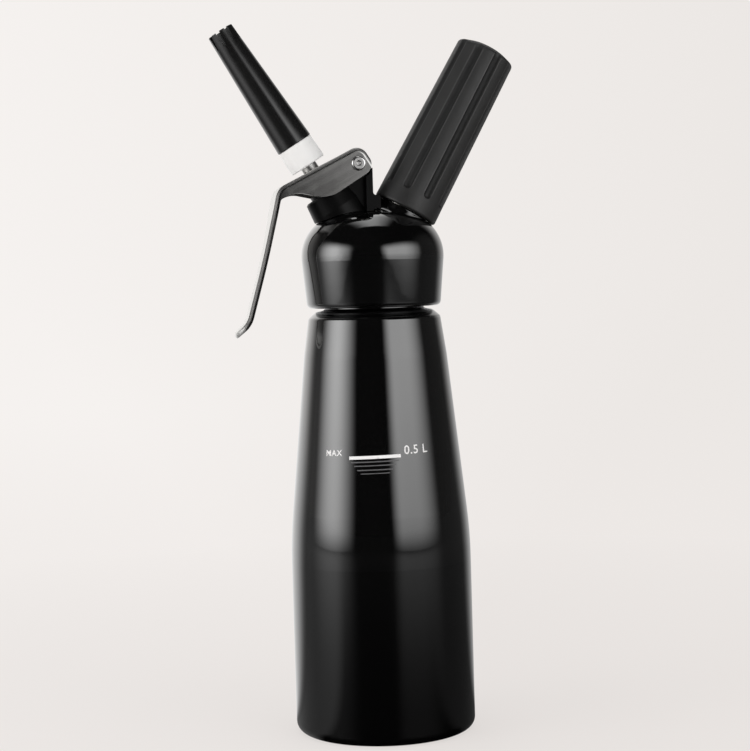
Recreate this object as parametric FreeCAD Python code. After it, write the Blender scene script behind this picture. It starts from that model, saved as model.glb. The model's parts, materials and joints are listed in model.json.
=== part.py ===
"""Whipped cream dispenser, 0.5 litre: aluminium bottle, screw head, lever valve and charger holder.

Millimetres, +Z up. The origin is the centre of the bottle's foot. The charger holder leans towards +X, and the
nozzle and lever towards -X. The pieces of the valve share one leaning axis, and those of the charger holder
another. Such a piece is built upright along +Z, from the point where its axis meets the bottle's, and then leant
over.
"""
import FreeCAD, Part
import math
import os

V = FreeCAD.Vector
ORIGIN = V(0, 0, 0)
UP = V(0, 0, 1)

# Clearances
running_gap = 0.05        # a pin or rod in its bore
thread_gap = 0.80         # plain neck in plain bore, where the thread of both would be
small_thread_gap = 0.30
seat_gap = 0.20           # a seal between two hard faces
fit_gap = 0.10            # a piece in the pocket of its own body
shell_gap = 0.40          # one cover over or beside another
contact_gap = 0.02        # two pieces that press on each other

# Bottle
bottle_height = 198.5
body_r = 39.3
foot_ring_r = 25.0
foot_rise = 2.5
foot_round = 4.5
wall = 1.8
floor_thickness = 4.5
floor_round = 9.0
taper_z = 86.0            # where the straight wall and the taper would meet
taper_round = 214.0
taper_top_round = 60.0
shoulder_width = 7.05     # of the shoulder round the neck
shoulder_taper = 2.3      # by which the wall widens below the shoulder
shoulder_height = 16.0
shoulder_round = 2.0
shoulder_cone = 2.9
collar_width = 3.7
collar_height = 0.7
neck_r = 21.8
neck_height = 13.9
neck_wall = 2.4
lip_round = 0.8
neck_foot_z = bottle_height - neck_height
collar_z = neck_foot_z - collar_height
shoulder_z = collar_z - shoulder_cone
taper_top_z = shoulder_z - shoulder_height
throat_r = neck_r - neck_wall
shoulder_r = neck_r + shoulder_width
taper_top_r = shoulder_r + shoulder_taper

# Head gasket
gasket_thickness = 2.3
gasket_overhang = 1.5
gasket_in_r = throat_r - gasket_overhang
gasket_out_r = neck_r + thread_gap - 2 * seat_gap

# Head. The valve and the charger axis cross the bottle's axis below its top.
head_height = 40.9
head_rise = 0.9           # of the rim above the foot of the neck
rim_overhang = 0.25
rim_round = 2.2
head_flare = 3.76         # by which the leaning side is wider at the height of the top
dome_round = 19.0
rim_chamfer = 1.2
head_roof = 12.8
cavity_round = 7.0
cavity_step = 0.3         # by which the cavity is narrower than the gasket's hole
valve_root_drop = 22.0
charger_root_drop = 25.8
rim_z = neck_foot_z + head_rise
rim_r = shoulder_r + rim_overhang
head_top_z = rim_z + head_height
head_top_r = rim_r + head_flare
cavity_top_z = head_top_z - head_roof
cavity_r = gasket_in_r - cavity_step
gasket_seat = bottle_height + gasket_thickness + 2 * seat_gap
valve_root_z = head_top_z - valve_root_drop
charger_root_z = head_top_z - charger_root_drop

# Valve in the head, in heights along the valve axis, which leans towards -X
valve_tilt = -32.0
valve_neck_top = 34.0
valve_neck_wall = 2.7
valve_bore_r = 4.4
valve_seat = 10.0
guide_length = 10.0
spring_room_width = 2.5
seal_room = 1.6
spring_room_r = valve_bore_r + spring_room_width
spring_room_floor = valve_seat + guide_length
valve_neck_r = spring_room_r + valve_neck_wall

# Valve seal and its nut
seal_r = 7.0
seal_thickness = 2.9
seal_nut_thickness = 1.9
seal_nut_flats = 8.0
stem_tail = 0.5           # of the stem beyond its nut
seal_top = valve_seat - running_gap
seal_foot = seal_top - seal_thickness
seal_nut_foot = seal_foot - running_gap - seal_nut_thickness

# Bracket: its cup stands on the valve neck
cup_plate = 2.6
cup_height = 8.0
cup_low_wall = 1.9
cup_top_wall = 0.8
cup_chamfer_height = 0.6
cup_chamfer_width = 0.8
arm_half = 6.5
pin_boss_r = 4.7
pin_boss_margin = 0.6     # of the pin boss's ends beyond the top of the cup
fin_inset = 0.6
fin_reach = 6.289         # of the fin's face beyond the lever pin
fin_thickness = 2.9
toe_length = 3.2
toe_height = 7.3
toe_notch_round = 1.3
cup_plate_foot = valve_neck_top + seat_gap
cup_top = cup_plate_foot + cup_plate
cup_low = cup_top - cup_height
cup_low_r = valve_neck_r + cup_low_wall
cup_top_r = valve_neck_r + cup_top_wall
skirt_foot = spring_room_floor - 2.0
pin_boss_half = cup_top_r + pin_boss_margin
fin_half = pin_boss_half - fin_inset

# Gland nut
gland_depth = 3.6
gland_lap = 0.3
gland_flange_thickness = 1.6
gland_slot_width = 1.6
gland_slot_depth = 0.8
gland_foot = valve_neck_top - gland_depth
gland_flange = cup_top + fit_gap
gland_top = gland_flange + gland_flange_thickness
gland_flange_r = spring_room_r + gland_lap

# Lever pin, beside the valve axis by pin_n
pin_offset = 7.5          # from the side of the valve neck
pin_rise = 3.0
pin_r = 2.0
rivet_lap = 1.2
rivet_head_height = 1.2
rivet_dimple_r = 1.3
rivet_dimple_depth = 1.6
washer_thickness = 0.5
pin_n = valve_neck_r + pin_offset
pin_t = cup_top + pin_rise
rivet_head_r = pin_r + rivet_lap
washer_inset = 0.3
washer_r = pin_boss_r - washer_inset

# Piston
piston_r = valve_bore_r - running_gap
stem_step = 1.45
stem_shoulder = 0.7
stem_r = piston_r - stem_step
stem_core_r = stem_r - stem_shoulder
port_rise = 2.2
port_bore_r = 1.5
full_width_rise = 2.0
spring_flange_gap = 0.6
spring_flange_play = 0.8
spring_flange_thickness = 1.4
collar_seat_rise = 4.95
thread_step = 0.75
piston_bore_r = 2.4
ring_wire_r = 0.75
low_ring_rise = 2.2
high_ring_rise = 6.2
port_height = valve_seat + port_rise
piston_foot = port_height + full_width_rise
spring_flange_r = spring_room_r - spring_flange_gap
spring_flange = gland_foot - spring_flange_play - spring_flange_thickness
piston_thread_r = piston_r - thread_step
thread_foot = pin_t + collar_seat_rise
ring_heights = (piston_foot + low_ring_rise, gland_foot + high_ring_rise)

# Spring
spring_wire_r = 0.4
spring_turns = 4.0
spring_side_gap = 0.8

# Lever
sheet = 1.5
lever_end_r = 5.5
lever_swing_gap = 1.05    # from the lever's end to the fin behind it
handle_half = 7.8
handle_depth = 2.3
handle_reach = 84.6       # from the pin to the tip, square to the valve axis
bend_round = 1.9
slot_gap = 0.85
slot_stretch = 1.6
web_end = 6.5             # from the pin to the end of the web
lever_half = pin_boss_half + washer_thickness + 2 * running_gap + sheet
slot_r = piston_r + slot_gap

# Press collar
press_collar_lap = 0.8
press_collar_height = 1.6
press_collar_r = slot_r + press_collar_lap

# Nozzle adapter and decorating nozzle
adapter_rise = 6.05       # above the seat of the press collar
adapter_height = 10.6
adapter_foot_r = 8.2
adapter_top_r = 8.0
thread_grip = 8.9
spigot_r = 5.9
spigot_height = 8.3
nozzle_length = 57.8
nozzle_foot_r = 8.2
nozzle_tip_r = 5.85
nozzle_wall = 1.5
crown_slots = 8
crown_slot_mouth = 2.2
crown_slot_foot = 0.9
crown_slot_depth = 6.6
crown_turn = -65.0        # turn of the slots about the nozzle's axis
nozzle_seal_thickness = 1.4
adapter_foot = thread_foot + adapter_rise
adapter_top = adapter_foot + adapter_height
piston_top = adapter_foot + thread_grip

# Gas charger
charger_r = 9.0
charger_length = 66.0
charger_neck_r = 3.7
charger_neck_length = 9.0
charger_shoulder = 9.0
charger_play = 0.3        # the charger's gap to the seal and to the pad
charger_wall = 1.1
charger_cap = 1.2
pierced_hole_r = 1.5

# Port boss on the head, in heights along the charger axis, which leans towards +X
charger_tilt = 29.2
boss_top = 29.9
boss_height = 5.7
boss_base_width = 3.7
boss_cove = 3.4
gas_passage_r = 1.5
port_root_r = 8.0
port_root_depth = 6.5
sleeve_pocket_depth = 4.6
spot_face_height = 10.0   # the dome is faced off level with the boss where the holder needs the room
carrier_seat = boss_top - port_root_depth
sleeve_pocket_top = carrier_seat - sleeve_pocket_depth

# Charger port
stud_margin = 0.6         # stud wider than the charger
stud_height = 12.9
port_flange_width = 1.9
port_flange_thickness = 1.6
boss_margin = 1.2
shelf_rise = 0.5
neck_room = 1.3
port_ring_wire_r = 0.8
stud_r = charger_r + stud_margin
stud_top = boss_top + stud_height
port_flange_r = stud_r + port_flange_width
port_foot = carrier_seat + seat_gap
seal_shelf = boss_top + shelf_rise
neck_socket_r = charger_neck_r + neck_room
port_ring_r = port_root_r + port_ring_wire_r + fit_gap
boss_r = port_flange_r + boss_margin
boss_base_r = boss_r + boss_base_width
boss_base = boss_top - boss_height

# Piercing pin and its holder, charger seal, check valve sleeve
piercing_pin_r = 1.1
piercing_pin_rise = 4.6
charger_seal_thickness = 2.6
sleeve_r = 3.9
sleeve_length = 4.6
sleeve_side_gap = 0.3
charger_seal_r = neck_socket_r - seat_gap
pin_holder_r = charger_seal_r - seat_gap
piercing_pin_top = seal_shelf + piercing_pin_rise
charger_tip = seal_shelf + running_gap + charger_seal_thickness + charger_play
charger_top = charger_tip + charger_length

# Charger holder
charger_room = 0.4
holder_wall = 3.7
holder_foot_wall = 3.2
holder_end_wall = 6.5
holder_edge_drop = 2.5
holder_edge_round = 1.6
bore_end_round = 3.0
holder_grooves = 9
groove_cutter_r = 2.0
groove_depth = 1.4
groove_rise = 7.3
groove_turn = -73.0       # turn of the grooves about the holder's axis
insert_wall = 1.3
insert_rise = 2.6
insert_length = 13.8
pad_thickness = 4.0
holder_foot = boss_top + shell_gap
holder_bore_r = charger_r + charger_room
holder_top_r = holder_bore_r + holder_wall
insert_in_r = stud_r + small_thread_gap
insert_out_r = insert_in_r + insert_wall
holder_foot_r = insert_out_r + holder_foot_wall
insert_foot = holder_foot + insert_rise
pad_foot = charger_top + charger_play
holder_bore_top = pad_foot + pad_thickness + running_gap
holder_top = holder_bore_top + holder_end_wall
holder_edge = holder_top - holder_edge_drop
groove_start = holder_foot + groove_rise

parts = {}


def rounded_wire(corners, closed=True):
    """A wire in the XZ plane. A corner is (x, z), or (x, z, radius) where it is rounded."""
    points = [V(corner[0], 0, corner[1]) for corner in corners]
    arrivals = []
    departures = []
    arcs = []
    for index, corner in enumerate(points):
        radius = corners[index][2] if len(corners[index]) > 2 else 0
        if not radius:
            arrivals.append(corner)
            departures.append(corner)
            arcs.append(None)
            continue
        back = (points[index - 1] - corner).normalize()
        ahead = (points[(index + 1) % len(points)] - corner).normalize()
        half = back.getAngle(ahead) / 2
        bisector = (back + ahead).normalize()
        reach = radius / math.tan(half)
        arrival = corner + back * reach
        departure = corner + ahead * reach
        middle = corner + bisector * (radius / math.sin(half) - radius)
        arrivals.append(arrival)
        departures.append(departure)
        arcs.append(Part.Arc(arrival, middle, departure).toShape())
    edges = []
    for index, departure in enumerate(departures):
        if arcs[index]:
            edges.append(arcs[index])
        if index + 1 == len(points) and not closed:
            break
        arrival = arrivals[(index + 1) % len(points)]
        if departure.distanceToPoint(arrival) > 1e-6:
            edges.append(Part.LineSegment(departure, arrival).toShape())
    return Part.Wire(edges)


def shifted(corners, distance):
    """An open outline moved to its left by distance, as seen with X to the right and Z up."""
    lines = []
    for first, second in zip(corners, corners[1:]):
        along = V(second[0] - first[0], 0, second[1] - first[1]).normalize()
        left = V(-along.z, 0, along.x)
        lines.append((V(first[0], 0, first[1]) + left * distance, along))
    moved = []
    for index, corner in enumerate(corners):
        if index in (0, len(lines)):
            foot, along = lines[min(index, len(lines) - 1)]
            reach = (V(corner[0], 0, corner[1]) - foot).dot(along)
            point = foot + along * reach
            moved.append((point.x, point.z))
            continue
        (foot, along), (other_foot, other_along) = lines[index - 1:index + 1]
        turn = along.x * other_along.z - along.z * other_along.x
        gap = other_foot - foot
        reach = (gap.x * other_along.z - gap.z * other_along.x) / turn
        point = foot + along * reach
        radius = corner[2] if len(corner) > 2 else 0
        if radius:
            radius += -distance if turn > 0 else distance
        moved.append((point.x, point.z, radius))
    return moved


def turned(corners):
    """The solid that a closed outline beside the Z axis sweeps in a full turn."""
    return Part.Face(rounded_wire(corners)).revolve(ORIGIN, UP, 360)


def prism(corners, half):
    """A plate with this outline in the XZ plane, from -half to half in Y."""
    face = Part.Face(rounded_wire(corners))
    face.translate(V(0, -half, 0))
    return face.extrude(V(0, 2 * half, 0))


def tube(outer_r, inner_r, foot, top, edge=0):
    """An upright ring or disc, with its outer edges rounded by edge."""
    if inner_r:
        return turned([(inner_r, foot), (outer_r, foot, edge), (outer_r, top, edge), (inner_r, top)])
    return turned([(0, foot), (outer_r, foot, edge), (outer_r, top, edge), (0, top)])


def ring(centre_r, wire_r, height):
    """An O-ring round the Z axis."""
    return Part.makeTorus(centre_r, wire_r, V(0, 0, height), UP)


def rod_across(radius, half, x, z):
    """A cylinder along Y, centred on Y = 0."""
    return Part.makeCylinder(radius, 2 * half, V(x, -half, z), V(0, 1, 0))


def lean_to_valve(shape):
    """Lean an upright piece over on to the valve axis."""
    shape.rotate(ORIGIN, V(0, 1, 0), valve_tilt)
    shape.translate(V(0, 0, valve_root_z))
    return shape


def lean_to_charger(shape):
    """Lean an upright piece over on to the charger axis."""
    shape.rotate(ORIGIN, V(0, 1, 0), charger_tilt)
    shape.translate(V(0, 0, charger_root_z))
    return shape


def make_bottle():
    """Seamless bottle: a dished foot, a straight wall that tapers to the shoulder, and a plain neck."""
    side = [
        (body_r, floor_thickness),
        (body_r, taper_z, taper_round),
        (taper_top_r, taper_top_z, taper_top_round),
        (shoulder_r, shoulder_z, shoulder_round),
        (neck_r + collar_width, collar_z, 2.5),
        (neck_r, neck_foot_z, 0.6),
        (neck_r, bottle_height),
    ]
    inside = shifted(side[:4], wall)
    outline = [
        (0, foot_rise),
        (foot_ring_r - 6, foot_rise, 8),
        (foot_ring_r, 0, 1.5),
        (body_r, 0, foot_round),
        *side[1:6],
        (neck_r, bottle_height, lip_round),
        (throat_r, bottle_height, lip_round),
        (throat_r, neck_foot_z - 2.5, 3.0),
        (inside[3][0], inside[3][1] - 1.5, 3.0),
        inside[2],
        inside[1],
        (body_r - wall, foot_rise + floor_thickness, floor_round),
        (0, foot_rise + floor_thickness),
    ]
    parts["bottle"] = turned(outline)


def make_head_gasket():
    """Silicone ring that the head presses on the mouth of the bottle."""
    foot = bottle_height + seat_gap
    parts["head_gasket"] = tube(gasket_out_r, gasket_in_r, foot, foot + gasket_thickness, 0.5)


def dome(grow=0):
    """The head's outer form, solid inside, grown all over by grow."""
    side = [
        (0, head_top_z),
        (head_top_r, head_top_z, dome_round),
        (rim_r, rim_z),
    ]
    moved = shifted(side, grow)
    return turned([
        (0, rim_z - grow),
        (moved[2][0], rim_z - grow, rim_round),
        moved[1],
        (0, head_top_z + grow),
    ])


def port_boss(grow=0):
    """The boss for the charger port, with its coved foot, upright."""
    return turned([
        (0, sleeve_pocket_top - 6),
        (boss_base_r + grow, sleeve_pocket_top - 6),
        (boss_base_r + grow, boss_base + grow, 0.8),
        (boss_r + grow, boss_base + grow + 0.4, boss_cove - grow),
        (boss_r + grow, boss_top + grow, 0.5),
        (0, boss_top + grow),
    ])


def make_head():
    """Screw head: a domed shell with the valve neck and the port boss, and the bores through both."""
    bore_r = neck_r + thread_gap
    neck = lean_to_valve(tube(valve_neck_r, 0, valve_seat, valve_neck_top, 0.4))
    outside = dome().fuse([neck, lean_to_charger(port_boss())])
    inside = turned([
        (0, rim_z - 1),
        (bore_r + rim_chamfer + 1, rim_z - 1),
        (bore_r, rim_z + rim_chamfer),
        (bore_r, gasket_seat),
        (cavity_r, gasket_seat),
        (cavity_r, cavity_top_z, cavity_round),
        (0, cavity_top_z),
    ])
    valve_bores = [
        tube(seal_r + seal_room, 0, 0, valve_seat),
        tube(valve_bore_r, 0, valve_seat - 1, spring_room_floor + 1),
        tube(spring_room_r, 0, spring_room_floor, valve_neck_top + 1),
    ]
    charger_bores = [
        tube(sleeve_r + sleeve_side_gap, 0, sleeve_pocket_top - 12, sleeve_pocket_top),
        tube(gas_passage_r, 0, sleeve_pocket_top - 1, carrier_seat + 1),
        tube(port_root_r + fit_gap, 0, carrier_seat, boss_top + 1),
        tube(port_ring_r + port_ring_wire_r + fit_gap, 0, boss_top - 2 * port_ring_wire_r, boss_top + 1),
        tube(holder_foot_r + shell_gap, 0, boss_top, boss_top + spot_face_height),
    ]
    cutters = [inside]
    cutters += [lean_to_valve(bore) for bore in valve_bores]
    cutters += [lean_to_charger(bore) for bore in charger_bores]
    parts["head"] = outside.cut(cutters)


def make_valve():
    """The sliding pieces of the valve, the spring that pushes them out and the gland that guides them."""
    piston = turned([
        (0, seal_nut_foot - stem_tail),
        (stem_core_r, seal_nut_foot - stem_tail, 0.4),
        (stem_core_r, valve_seat),
        (stem_r, valve_seat),
        (stem_r, piston_foot),
        (piston_r, piston_foot, 0.3),
        (piston_r, spring_flange),
        (spring_flange_r, spring_flange),
        (spring_flange_r, spring_flange + spring_flange_thickness, 0.3),
        (piston_r, spring_flange + spring_flange_thickness),
        (piston_r, thread_foot),
        (piston_thread_r, thread_foot),
        (piston_thread_r, piston_top, 0.4),
        (0, piston_top),
    ])
    groove_r = piston_r - 2 * ring_wire_r
    grooves = [
        tube(valve_bore_r + 1, groove_r, height - ring_wire_r - fit_gap, height + ring_wire_r + fit_gap)
        for height in ring_heights
    ]
    hollows = [
        tube(port_bore_r, 0, port_height - port_bore_r, piston_foot + 2),
        tube(piston_bore_r, 0, piston_foot + 1, piston_top + 1),
        rod_across(port_bore_r - 0.2, stem_r + 1, 0, port_height),
    ]
    parts["valve_piston"] = lean_to_valve(piston.cut(grooves + hollows))
    rings = [ring(groove_r + ring_wire_r, ring_wire_r - contact_gap, height) for height in ring_heights]
    parts["piston_o_rings"] = lean_to_valve(Part.makeCompound(rings))

    parts["valve_seal"] = lean_to_valve(tube(seal_r, stem_core_r + running_gap, seal_foot, seal_top, 0.4))
    nut = hexagon(seal_nut_flats, seal_nut_foot, seal_nut_thickness)
    nut = nut.cut(tube(stem_core_r + running_gap, 0, seal_nut_foot - 1, seal_foot + 1))
    parts["seal_nut"] = lean_to_valve(nut)

    coil_r = spring_room_r - spring_side_gap - spring_wire_r
    coil_foot = spring_room_floor + fit_gap + spring_wire_r
    coil_height = spring_flange - fit_gap - spring_wire_r - coil_foot
    helix = Part.makeLongHelix(coil_height / spring_turns, coil_height, coil_r)
    helix.translate(V(0, 0, coil_foot))
    start = helix.Edges[0]
    heading = start.tangentAt(start.FirstParameter)
    wire = Part.Wire(Part.makeCircle(spring_wire_r, V(coil_r, 0, coil_foot), heading))
    parts["valve_spring"] = lean_to_valve(Part.Wire(helix.Edges).makePipeShell([wire], True, True))

    gland = turned([
        (valve_bore_r, gland_foot),
        (spring_room_r - small_thread_gap, gland_foot, 0.3),
        (spring_room_r - small_thread_gap, gland_flange),
        (gland_flange_r, gland_flange),
        (gland_flange_r, gland_top, 0.7),
        (valve_bore_r, gland_top),
    ])
    slot = Part.makeBox(2 * gland_flange_r + 2, gland_slot_width, gland_slot_depth + 1,
                        V(-gland_flange_r - 1, -gland_slot_width / 2, gland_top - gland_slot_depth))
    parts["gland_nut"] = lean_to_valve(gland.cut(slot))

    collar_foot = thread_foot + contact_gap
    collar = tube(press_collar_r, piston_thread_r + running_gap, collar_foot,
                  collar_foot + press_collar_height, 0.3)
    parts["press_collar"] = lean_to_valve(collar)


def hexagon(across_flats, foot, height):
    """An upright hexagonal bar."""
    corner_r = across_flats / math.sqrt(3)
    points = [V(corner_r * math.cos(math.radians(60 * k)), corner_r * math.sin(math.radians(60 * k)), foot)
              for k in range(7)]
    return Part.Face(Part.makePolygon(points)).extrude(V(0, 0, height))


def make_bracket():
    """Moulded bracket: a cup over the valve neck, an arm with the pin boss, and a fin behind the lever."""
    cup = turned([
        (0, skirt_foot),
        (cup_low_r, skirt_foot),
        (cup_low_r, cup_low, 2.0),
        (cup_top_r, cup_top - cup_chamfer_height),
        (cup_top_r - cup_chamfer_width, cup_top),
        (0, cup_top),
    ])
    arm = prism([
        (4, skirt_foot),
        (pin_n + 20, skirt_foot),
        (pin_n + 20, pin_t - 12),
        (pin_n + 5.0, pin_t - 5.0),
        (pin_n + pin_boss_r - 0.4, pin_t - 1.0),
        (pin_n - pin_boss_r + 0.3, pin_t + 1.0, 1.0),
        (cup_top_r + 0.5, cup_top - 0.2, 1.0),
        (4, cup_top - 0.2),
    ], arm_half)
    boss = rod_across(pin_boss_r, pin_boss_half, pin_n, pin_t)
    upright = lean_to_valve(cup.fuse([arm, boss]))
    pin = valve_point(pin_n, pin_t)
    fin_face_x = pin.x + fin_reach
    toe_end_x = fin_face_x + toe_length
    toe_top_z = head_top_z + toe_height
    foot_z = head_top_z - 8
    fin = Part.makeBox(fin_thickness + 10, 2 * fin_half, pin.z - foot_z,
                       V(fin_face_x - fin_thickness, -fin_half, foot_z))
    swing = rod_across(lever_end_r + lever_swing_gap, lever_half, pin.x, pin.z)
    kept_arm = rod_across(pin_boss_r, pin_boss_half, pin.x, pin.z)
    fin = fin.cut(swing).fuse(kept_arm)
    beyond = prism([
        (fin_face_x, toe_top_z, toe_notch_round),
        (fin_face_x, pin.z + 20),
        (fin_face_x + 40, pin.z + 20),
        (fin_face_x + 40, foot_z - 10),
        (toe_end_x, foot_z - 10),
        (toe_end_x, toe_top_z, 0.8),
    ], fin_half + 5)
    beside_holder = tube(holder_foot_r + shell_gap, 0, boss_top, boss_top + 20)
    inner_bores = [
        tube(valve_neck_r + small_thread_gap, 0, 0, cup_plate_foot),
        tube(spring_room_r, 0, cup_plate_foot - 1, cup_top + 1),
        rod_across(pin_r + running_gap, pin_boss_half + 1, pin_n, pin_t),
    ]
    cutters = [beyond, dome(shell_gap)]
    cutters += [lean_to_charger(room) for room in (port_boss(shell_gap), beside_holder)]
    cutters += [lean_to_valve(bore) for bore in inner_bores]
    bracket = upright.fuse(fin).cut(cutters)
    parts["lever_bracket"] = bracket.removeSplitter()


def valve_point(n, t):
    """The point that lies n across and t along the valve axis."""
    tilt = math.radians(valve_tilt)
    across = V(math.cos(tilt), 0, -math.sin(tilt)) * n
    along = V(math.sin(tilt), 0, math.cos(tilt)) * t
    return V(0, 0, valve_root_z) + across + along


def make_lever():
    """Pressed sheet lever: two cheeks joined by a web with a hole for the piston, and a dished handle."""
    handle_inside = [
        (pin_n - 36.4, pin_t + 5.5),
        (pin_n - 55.1, pin_t - 13.4, 300),
        (pin_n - 76.3, pin_t - 32.6, 12),
        (pin_n - handle_reach, pin_t - 34.0),
    ]
    handle_outside = shifted(handle_inside, -handle_depth)
    tip = extended(handle_outside[-2], handle_outside[-1], 10)
    end_n = pin_n + lever_end_r
    low_t = pin_t - 60
    outer_line = [
        (end_n, low_t),
        (end_n, pin_t + 6.4, lever_end_r - 0.3),
        (pin_n - 35.0, pin_t + 10.2, 7.0),
        *handle_outside[1:-1],
        tip,
    ]
    inner_line = shifted(outer_line, sheet)
    outer = prism([*outer_line, (tip[0], low_t)], lever_half + 5).common(lever_plan(0))
    outer = round_along(outer, outer_line, bend_round)
    inner = prism([*inner_line, (inner_line[-1][0], low_t)], lever_half + 5).common(lever_plan(sheet))
    inner = round_along(inner, inner_line, bend_round - sheet)
    underside = prism([
        (end_n + 5, low_t - 5),
        (end_n + 5, pin_t),
        (end_n, pin_t),
        (end_n, pin_t - lever_end_r, lever_end_r - 0.3),
        (pin_n - 19.1, pin_t - 5.5, 14),
        (pin_n - 29.3, pin_t + 4.4, 9),
        (*handle_inside[0], 2.0),
        *handle_inside[1:-1],
        extended(handle_inside[-2], handle_inside[-1], 30),
        (pin_n - handle_reach - 30, low_t - 5),
    ], lever_half + 5)
    beyond_tip = Part.makeBox(60, 60, 200, V(pin_n - handle_reach - 60, -30, pin_t - 100))
    slot = tube(slot_r, 0, pin_t, pin_t + 20)
    far_slot = slot.copy()
    far_slot.translate(V(slot_stretch, 0, 0))
    between = Part.makeBox(slot_stretch, 2 * slot_r, 20, V(0, -slot_r, pin_t))
    between_cheeks = lever_half - sheet
    open_end = Part.makeBox(30, 2 * between_cheeks, 40, V(pin_n - web_end, -between_cheeks, pin_t - 20))
    pin_hole = rod_across(pin_r + running_gap, lever_half + 1, pin_n, pin_t)
    lever = outer.cut([underside, beyond_tip, inner, slot.fuse([far_slot, between]), open_end, pin_hole])
    parts["lever"] = lean_to_valve(lever)


def round_along(solid, line, radius):
    """Round the solid's edges that run along an open line of the XZ plane, on both of its sides."""
    path = rounded_wire(line, closed=False)
    edges = []
    for edge in solid.Edges:
        middle = edge.valueAt((edge.FirstParameter + edge.LastParameter) / 2)
        beside = Part.Vertex(middle.x, 0, middle.z)
        along_path = abs(edge.tangentAt(edge.FirstParameter).y) < 0.9
        if along_path and path.distToShape(beside)[0] < 0.01:
            edges.append(edge)
    return solid.makeFillet(radius, edges)


def extended(first, second, length):
    """The end of the line from first to second, made longer by length."""
    along = V(second[0] - first[0], 0, second[1] - first[1]).normalize()
    return (second[0] + along.x * length, second[1] + along.z * length)


def lever_plan(inset):
    """The lever's outline seen along the valve axis, with inset taken off each side."""
    wide = lever_half - inset
    narrow = handle_half - inset
    tip = pin_n - handle_reach + inset
    outline = [
        (pin_n + 40, -wide),
        (pin_n + 40, wide),
        (pin_n - 40, wide, 14),
        (pin_n - 54, narrow + 0.6, 30),
        (tip, narrow, narrow - 0.5),
        (tip, -narrow, narrow - 0.5),
        (pin_n - 54, -narrow - 0.6, 30),
        (pin_n - 40, -wide, 14),
    ]
    plan = Part.Face(rounded_wire(outline)).extrude(V(0, 200, 0))
    plan.rotate(ORIGIN, V(1, 0, 0), 90)
    plan.translate(V(0, 0, -100))
    return plan


def make_pin():
    """Rivet through both cheeks and the bracket's boss, with a washer on each side of the boss."""
    half = lever_half + running_gap
    rivet = rod_across(pin_r, half + 0.1, pin_n, pin_t)
    heads = []
    for side in (-1, 1):
        head = turned([
            (0, half),
            (rivet_head_r, half, 0.2),
            (rivet_head_r - 0.3, half + rivet_head_height, 0.8),
            (0, half + rivet_head_height),
        ])
        dimple = turned([
            (0, half + rivet_head_height - rivet_dimple_depth),
            (rivet_dimple_r * 0.7, half + rivet_head_height - rivet_dimple_depth, 0.3),
            (rivet_dimple_r, half + rivet_head_height + 0.5),
            (0, half + rivet_head_height + 0.5),
        ])
        head = head.cut(dimple)
        head.rotate(ORIGIN, V(1, 0, 0), -90 * side)
        head.translate(V(pin_n, 0, pin_t))
        dimple.rotate(ORIGIN, V(1, 0, 0), -90 * side)
        dimple.translate(V(pin_n, 0, pin_t))
        rivet = rivet.cut(dimple)
        heads.append(head)
    parts["lever_pin"] = lean_to_valve(rivet.fuse(heads).removeSplitter())
    washers = []
    for side in (-1, 1):
        washer = tube(washer_r, pin_r + running_gap, 0, washer_thickness)
        washer.rotate(ORIGIN, V(1, 0, 0), -90 * side)
        washer.translate(V(pin_n, side * (pin_boss_half + running_gap), pin_t))
        washers.append(washer)
    parts["lever_washers"] = lean_to_valve(Part.makeCompound(washers))


def make_nozzle():
    """White adapter on the piston's thread, and the decorating nozzle on the adapter's spigot."""
    thread_room = piston_top + 0.3
    spigot_top = adapter_top + spigot_height
    adapter = turned([
        (piston_thread_r + fit_gap, adapter_foot),
        (adapter_foot_r, adapter_foot, 0.6),
        (adapter_foot_r, adapter_foot + 3.0, 2.0),
        (adapter_top_r, adapter_top - 2.5, 2.0),
        (adapter_top_r, adapter_top, 0.3),
        (spigot_r, adapter_top),
        (spigot_r, spigot_top, 0.5),
        (piston_bore_r, spigot_top),
        (piston_bore_r, thread_room),
        (piston_thread_r + fit_gap, thread_room),
    ])
    parts["nozzle_adapter"] = lean_to_valve(adapter)

    foot = adapter_top + running_gap
    tip = foot + nozzle_length
    shelf = spigot_top + nozzle_seal_thickness + 2 * seat_gap
    slope = (nozzle_foot_r - nozzle_tip_r) / nozzle_length
    shelf_r = nozzle_foot_r - slope * (shelf - foot) - nozzle_wall - 1.0
    nozzle = turned([
        (spigot_r + small_thread_gap, foot),
        (nozzle_foot_r, foot, 0.5),
        (nozzle_tip_r, tip, 0.4),
        (nozzle_tip_r - nozzle_wall, tip),
        (shelf_r, shelf + 3),
        (shelf_r - 1.5, shelf),
        (spigot_r + small_thread_gap, shelf),
    ])
    slot_outline = Part.makePolygon([
        V(nozzle_wall, -crown_slot_foot / 2, tip - crown_slot_depth),
        V(nozzle_wall, crown_slot_foot / 2, tip - crown_slot_depth),
        V(nozzle_wall, crown_slot_mouth / 2, tip),
        V(nozzle_wall, crown_slot_mouth / 2, tip + 1),
        V(nozzle_wall, -crown_slot_mouth / 2, tip + 1),
        V(nozzle_wall, -crown_slot_mouth / 2, tip),
        V(nozzle_wall, -crown_slot_foot / 2, tip - crown_slot_depth),
    ])
    slot = Part.Face(slot_outline).extrude(V(nozzle_foot_r, 0, 0))
    slots = []
    for k in range(crown_slots):
        one = slot.copy()
        one.rotate(ORIGIN, UP, crown_turn + 360 * k / crown_slots)
        slots.append(one)
    parts["decorating_nozzle"] = lean_to_valve(nozzle.cut(slots))
    seal_foot = spigot_top + seat_gap
    seal = tube(spigot_r, piston_bore_r + 0.8, seal_foot, seal_foot + nozzle_seal_thickness, 0.3)
    parts["nozzle_seal"] = lean_to_valve(seal)


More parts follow.
